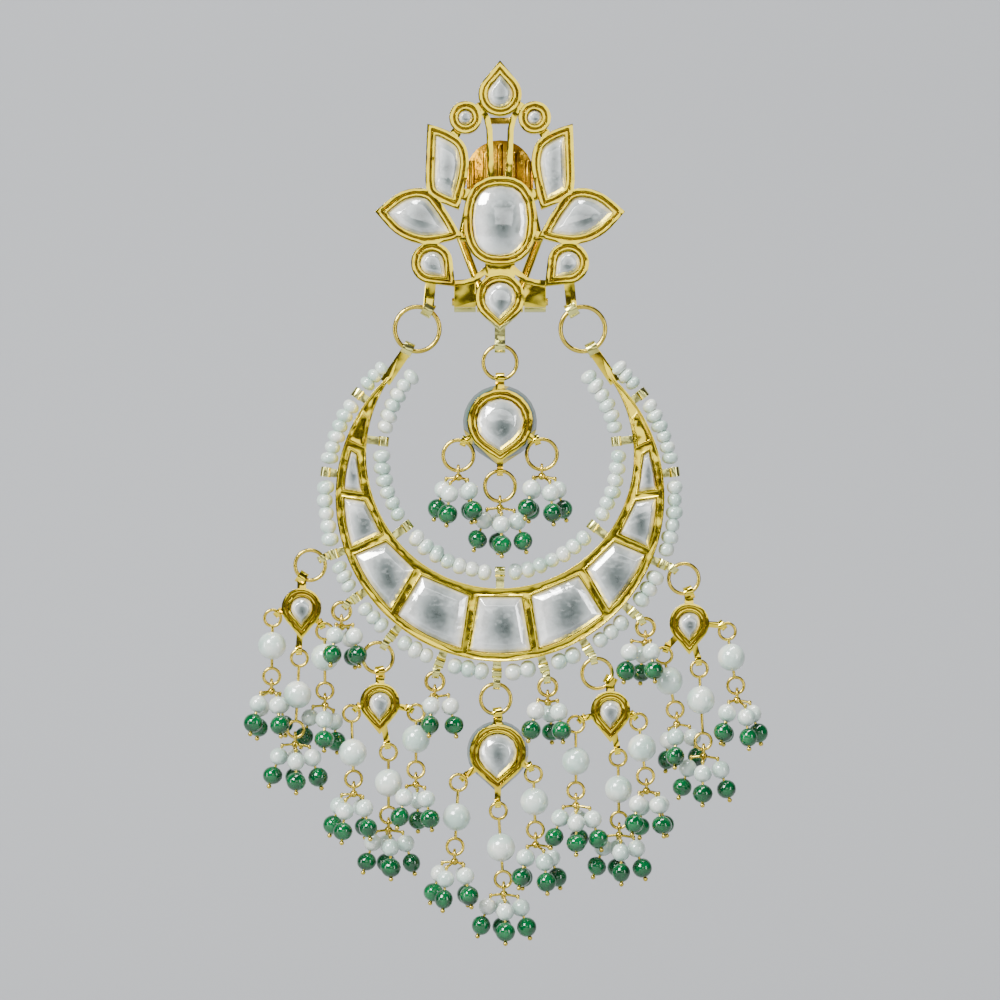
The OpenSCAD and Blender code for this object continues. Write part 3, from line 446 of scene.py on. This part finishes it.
def loose_centres(cad_name):
    """Middle of each loose solid of a CAD node, in metres."""
    mesh = bmesh.new()
    mesh.from_mesh(nodes[cad_name].data)
    bmesh.ops.remove_doubles(mesh, verts=mesh.verts, dist=1e-6)
    centres = []
    seen = set()
    for start in mesh.verts:
        if start.index in seen:
            continue
        seen.add(start.index)
        stack, found = [start], []
        while stack:
            v = stack.pop()
            found.append(v.co.copy())
            for edge in v.link_edges:
                other = edge.other_vert(v)
                if other.index not in seen:
                    seen.add(other.index)
                    stack.append(other)
        low = Vector(min(c[i] for c in found) for i in range(3))
        high = Vector(max(c[i] for c in found) for i in range(3))
        centres.append((low + high) / 2)
    mesh.free()
    return centres


def bead_master(name, segments, rings):
    """A bead of diameter 1 m at the origin, to be copied at its real size."""
    deselect()
    bpy.ops.mesh.primitive_uv_sphere_add(segments=segments, ring_count=rings, radius=0.5)
    bead = bpy.context.active_object
    bead.name = name
    bpy.ops.object.shade_smooth()
    return bead


def button_master(name, sides):
    """A button-shaped seed pearl, 1 m across and thick, its hole along X."""
    deselect()
    bpy.ops.mesh.primitive_cylinder_add(vertices=sides, radius=0.5, depth=1, rotation=(0, math.pi / 2, 0))
    button = bpy.context.active_object
    button.name = name
    bpy.ops.object.transform_apply(location=True, rotation=True, scale=True)
    rounded(button, 0.44, 4, 60)
    smooth(button, 180)
    return button


def joined(pieces, name):
    deselect()
    for piece in pieces:
        piece.select_set(True)
    bpy.context.view_layer.objects.active = pieces[0]
    bpy.ops.object.join()
    pieces[0].name = name
    return pieces[0]


def scattered(master, name, places, size_mm, squash):
    """Copies of a bead, each turned and sized a little differently, joined into one piece."""
    copies = []
    for place in places:
        copy = master.copy()
        copy.data = master.data.copy()
        bpy.context.scene.collection.objects.link(copy)
        roll = Matrix.Rotation(random.uniform(0, FULL_TURN), 4, "X")
        turn = Matrix.Rotation(random.uniform(0, FULL_TURN), 4, "Z")
        size = size_mm * MM * random.uniform(1 - BEAD_SPREAD, 1)
        width = size * random.uniform(1 - squash, 1)
        height = size * random.uniform(1 - squash, 1)
        scale = Matrix.Diagonal((size, width, height, 1))
        copy.data.transform(Matrix.Translation(place) @ roll @ turn @ scale)
        copies.append(copy)
    return joined(copies, name)


def down(centre_z, radius, degrees):
    """Point on a circle in the plane of the earring, measured from straight down, in metres."""
    a = math.radians(degrees)
    return Vector((radius * math.sin(a), 0, centre_z - radius * math.cos(a))) * MM


def seed_strand(master, name, centre_z, radius, pegs, end, toward):
    """Button-shaped seed pearls side by side on a strand, as many as fit between its pegs."""
    room = math.degrees(PEG_ROOM / radius)
    stops = [-end] + [p for peg in pegs for p in (peg - room, peg + room)] + [end]
    seeds = []
    for start, stop in zip(stops[::2], stops[1::2]):
        count = max(1, round(math.radians(stop - start) * radius / SEED_PITCH))
        pitch = math.radians(stop - start) * radius / count
        for i in range(count):
            angle = start + (stop - start) * (i + 0.5) / count
            copy = master.copy()
            copy.data = master.data.copy()
            bpy.context.scene.collection.objects.link(copy)
            width = SEED_D * MM * random.uniform(*SEED_WIDTHS)
            thickness = width * random.uniform(*SEED_THICKNESSES)
            size = Matrix.Diagonal((pitch * SEED_OVERLAP * MM, width, thickness, 1))
            lean = Matrix.Rotation(math.radians(random.uniform(*SEED_LEANS)), 4, "Y")
            spin = Matrix.Rotation(random.uniform(0, FULL_TURN), 4, "X")
            along = Matrix.Rotation(-math.radians(angle), 4, "Y")
            shift = toward * SEED_LEAN_IN + random.uniform(*SEED_SHIFTS)
            place = down(centre_z, radius + shift, angle)
            copy.data.transform(Matrix.Translation(place) @ along @ lean @ size @ spin)
            seeds.append(copy)
    return joined(seeds, name)


# Pieces

bead = bead_master("bead_master", 16, 10)
seed = button_master("seed_master", 12)

GOLD_WORK = [
    ("flower_frame", "ear_top"),
    ("clip_lever", "clip"),
    ("crescent_frame", "crescent"),
    ("pendant_frame", "pendant"),
    ("centre_frame", "centre_drop"),
] + [(f"drop_frame_{i}", "crescent") for i in range(1, 5)]
gold_work = {}
for cad_name, body in GOLD_WORK:
    gold_work[cad_name] = polished(cad_name, body)


def in_oval(patch):
    return abs(patch.middle.x) < OVAL_HALF_W and abs(patch.middle.z - OVAL_Z) < OVAL_HALF_H


def faces_front_at(patch, depth_y):
    return patch.normal.y < FRONT_NORMAL_Y and abs(patch.middle.y - depth_y) < GROOVE_ROOM


def flower_groove(patch):
    return faces_front_at(patch, OVAL_GROOVE_Y if in_oval(patch) else FLOWER_GROOVE_Y)


def flower_solder(patch):
    """The flower's back and its bails, apart from the bottom petal that hangs between them."""
    beside_petal = abs(patch.middle.x) > SIDE_LOOPS_X or patch.middle.z < PETAL_TIP_Z
    return patch.middle.y > FLOWER_BACK_Y or (patch.middle.z < LOOPS_Z and beside_petal)


def drop_groove(patch):
    return faces_front_at(patch, DROP_GROOVE_Y)


def drop_wall(patch):
    return abs(patch.normal.y) < SIDE_NORMAL_Y and patch.depth > WALL_DEPTH


def off_the_crescent(patch):
    """Pegs and loops, which stand off the crescent's two edges."""
    outer = math.hypot(patch.middle.x, patch.middle.z - OUTER_CENTRE_Z)
    inner = math.hypot(patch.middle.x, patch.middle.z - INNER_CENTRE_Z)
    return outer > CRESCENT_R + EDGE_ROOM or inner < MOON_R - EDGE_ROOM


def pad_face(patch):
    return patch.middle.z > PAD_BOTTOM_Z


def pad_ribs():
    """Upright ribs soldered along the front of the cupped pad."""
    ribs = []
    for x in PAD_RIBS_X:
        y = PAD_CUP_Y + math.sqrt(PAD_CUP_R**2 - x**2)
        top = PAD_RIB_TOP - abs(x) * PAD_RIB_FALL
        deselect()
        bpy.ops.mesh.primitive_cylinder_add(
            vertices=12,
            radius=PAD_RIB_R * MM,
            depth=(top - PAD_BOTTOM_Z) * MM,
            location=(x * MM, y * MM, (top + PAD_BOTTOM_Z) / 2 * MM),
        )
        rib = bpy.context.active_object
        bpy.ops.object.transform_apply(location=True, rotation=True, scale=True)
        rounded(rib, PAD_RIB_EDGE * MM, 2, 60)
        smooth(rib, 50)
        ribs.append(rib)
    return joined(ribs, "pad_ribs")


finish_piece(pad_ribs(), AMBER_GOLD, "clip", "yellow_gold")
# The flower's grooves take the gold with painted shade
dress(gold_work["flower_frame"], SHADED_GROOVE_GOLD, flower_groove)
dress(gold_work["flower_frame"], PALE_GOLD, flower_solder)
dress(gold_work["crescent_frame"], PALE_GOLD, off_the_crescent)
dress(gold_work["clip_lever"], AMBER_GOLD, pad_face)

SMALL_DROPS = [f"drop_frame_{i}" for i in range(1, 5)]
ENAMELS = dict.fromkeys(ENAMEL_FLARES, GREEN_ENAMEL) | dict.fromkeys(SMALL_DROPS, CREAM_ENAMEL)
# Each drop's groove takes the gold with painted shade, and its wall the enamel
for cad_name, enamel in ENAMELS.items():
    dress(gold_work[cad_name], SHADED_GROOVE_GOLD, drop_groove)
    dress(gold_work[cad_name], enamel, drop_wall)

STONES = [(name, "ear_top") for name in nodes if name.startswith("flower_stone")]
STONES += [(name, "crescent") for name in nodes if name.startswith(("crescent_stone", "drop_stone"))]
STONES += [("pendant_stone", "pendant"), ("centre_stone", "centre_drop")]
for cad_name, body in STONES:
    domed_stone(cad_name, body)

BEADS = [
    ("pendant_pearls", "pendant", PEARL_D, PEARL, "pearl", PEARL_SQUASH),
    ("pendant_emeralds", "pendant", EMERALD_D, EMERALD, "emerald_glass", GLASS_SQUASH),
    ("centre_pearls", "centre_drop", PEARL_D, PEARL, "pearl", PEARL_SQUASH),
    ("centre_emeralds", "centre_drop", EMERALD_D, EMERALD, "emerald_glass", GLASS_SQUASH),
    ("centre_large_pearls", "centre_drop", LARGE_PEARL_D, PEARL, "pearl", PEARL_SQUASH),
    ("fringe_large_pearls", "crescent", LARGE_PEARL_D, PEARL, "pearl", PEARL_SQUASH),
    ("fringe_pearls_left", "crescent", PEARL_D, PEARL, "pearl", PEARL_SQUASH),
    ("fringe_pearls_right", "crescent", PEARL_D, PEARL, "pearl", PEARL_SQUASH),
    ("fringe_emeralds_left", "crescent", EMERALD_D, EMERALD, "emerald_glass", GLASS_SQUASH),
    ("fringe_emeralds_right", "crescent", EMERALD_D, EMERALD, "emerald_glass", GLASS_SQUASH),
]
for cad_name, body, size, material, slot, squash in BEADS:
    piece = scattered(bead, "strung_" + cad_name, loose_centres(cad_name), size, squash)
    finish_piece(piece, material, body, slot, cad_name)

STRANDS = [
    ("outer_strand", OUTER_CENTRE_Z, OUTER_SEED_R, OUTER_PEGS, OUTER_END, -1),
    ("inner_strand", INNER_CENTRE_Z, INNER_SEED_R, INNER_PEGS, INNER_END, 1),
]
for cad_name, centre_z, radius, pegs, end, toward in STRANDS:
    piece = seed_strand(seed, "seeds_" + cad_name, centre_z, radius, pegs, end, toward)
    finish_piece(piece, PEARL, "crescent", "pearl", cad_name)

for master in (bead, seed):
    bpy.data.objects.remove(master)

# Wires keep the meshes of their CAD nodes
WIRES = [
    "clip_pin",
    "hanging_ring_left",
    "hanging_ring_right",
    "pendant_ring",
    "pendant_small_rings",
    "pendant_pins",
    "fringe_rings",
    "fringe_eye_pins",
    "fringe_pins_left",
    "fringe_pins_right",
    "centre_ring",
    "centre_eye_pins",
    "centre_pins",
]
for cad_name in WIRES:
    materials = nodes[cad_name].data.materials
    materials.clear()
    materials.append(WIRE_GOLD)

# Stage, light and camera, in metres

FLOOR_Z = -0.125
WALL_Y = 0.32
SWEEP_R = 0.16
STAGE_W = 1.6
STAGE_FRONT = 0.9
WALL_RISE = 0.7
SWEEP_STEPS = 14


def sweep():
    """Plain backdrop: a floor whose back edge is spun up into a wall."""
    deselect()
    depth = WALL_Y - SWEEP_R + STAGE_FRONT
    bpy.ops.mesh.primitive_plane_add(size=1, location=(0, depth / 2 - STAGE_FRONT, FLOOR_Z))
    backdrop = bpy.context.active_object
    backdrop.name = "backdrop"
    backdrop.scale = (STAGE_W, depth, 1)
    bpy.ops.object.transform_apply(location=True, rotation=True, scale=True)
    bpy.ops.object.mode_set(mode="EDIT")
    bpy.ops.mesh.select_all(action="DESELECT")
    mesh = bmesh.from_edit_mesh(backdrop.data)
    back = max(v.co.y for v in mesh.verts)
    for edge in mesh.edges:
        edge.select_set(all(abs(v.co.y - back) < 1e-6 for v in edge.verts))
    bmesh.update_edit_mesh(backdrop.data)
    middle = (0, WALL_Y - SWEEP_R, FLOOR_Z + SWEEP_R)
    bpy.ops.mesh.spin(steps=SWEEP_STEPS, angle=-math.pi / 2, center=middle, axis=(1, 0, 0))
    bpy.ops.mesh.extrude_region_move(TRANSFORM_OT_translate={"value": (0, 0, WALL_RISE)})
    bpy.ops.object.mode_set(mode="OBJECT")
    bpy.ops.object.shade_smooth()
    material, _, shader = new_material("pale_paper", Roughness=0.9)
    shader.inputs["Base Color"].default_value = linear("#A6A8AB")
    backdrop.data.materials.append(material)


def softbox(name, place, size, power):
    """A soft rectangular lamp of a power in watts, turned to the middle of the earring."""
    light = bpy.data.lights.new(name, "AREA")
    light.shape = "RECTANGLE"
    light.size, light.size_y = size
    light.energy = power
    lamp = bpy.data.objects.new(name, light)
    lamp.location = place
    lamp.rotation_euler = (VIEW_CENTRE - Vector(place)).to_track_quat("-Z", "Y").to_euler()
    bpy.context.scene.collection.objects.link(lamp)


VIEW_CENTRE = Vector((0, 0, -0.0357))
VIEW_HEIGHT = 0.113
CAMERA_Y = -0.62
FILM_MM = 36

sweep()
softbox("key_softbox", (-0.3, -0.42, 0.3), (0.26, 0.26), 8.5)
softbox("fill_softbox", (0.42, -0.4, 0.0), (0.12, 0.4), 1.2)
softbox("left_strip", (-0.45, -0.2, -0.05), (0.08, 0.4), 1.0)
softbox("top_strip", (0.05, -0.05, 0.42), (0.4, 0.08), 2.6)
softbox("front_card", (0.1, -1.0, 0.15), (0.5, 0.3), 0.95)
softbox("low_card", (0, -0.45, -0.35), (0.4, 0.08), 0.3)

world = bpy.data.worlds.new("studio_air")
world.use_nodes = True
background = world.node_tree.nodes["Background"]
background.inputs["Color"].default_value = linear("#C8CCD2")
background.inputs["Strength"].default_value = 0.08
bpy.context.scene.world = world

camera_data = bpy.data.cameras.new("camera")
camera_data.sensor_width = FILM_MM
camera_data.lens = FILM_MM * -CAMERA_Y / VIEW_HEIGHT
camera_data.clip_start = 0.01
camera = bpy.data.objects.new("camera", camera_data)
camera.location = (VIEW_CENTRE.x, CAMERA_Y, VIEW_CENTRE.z)
camera.rotation_euler = (math.pi / 2, 0, 0)
bpy.context.scene.collection.objects.link(camera)
bpy.context.scene.camera = camera
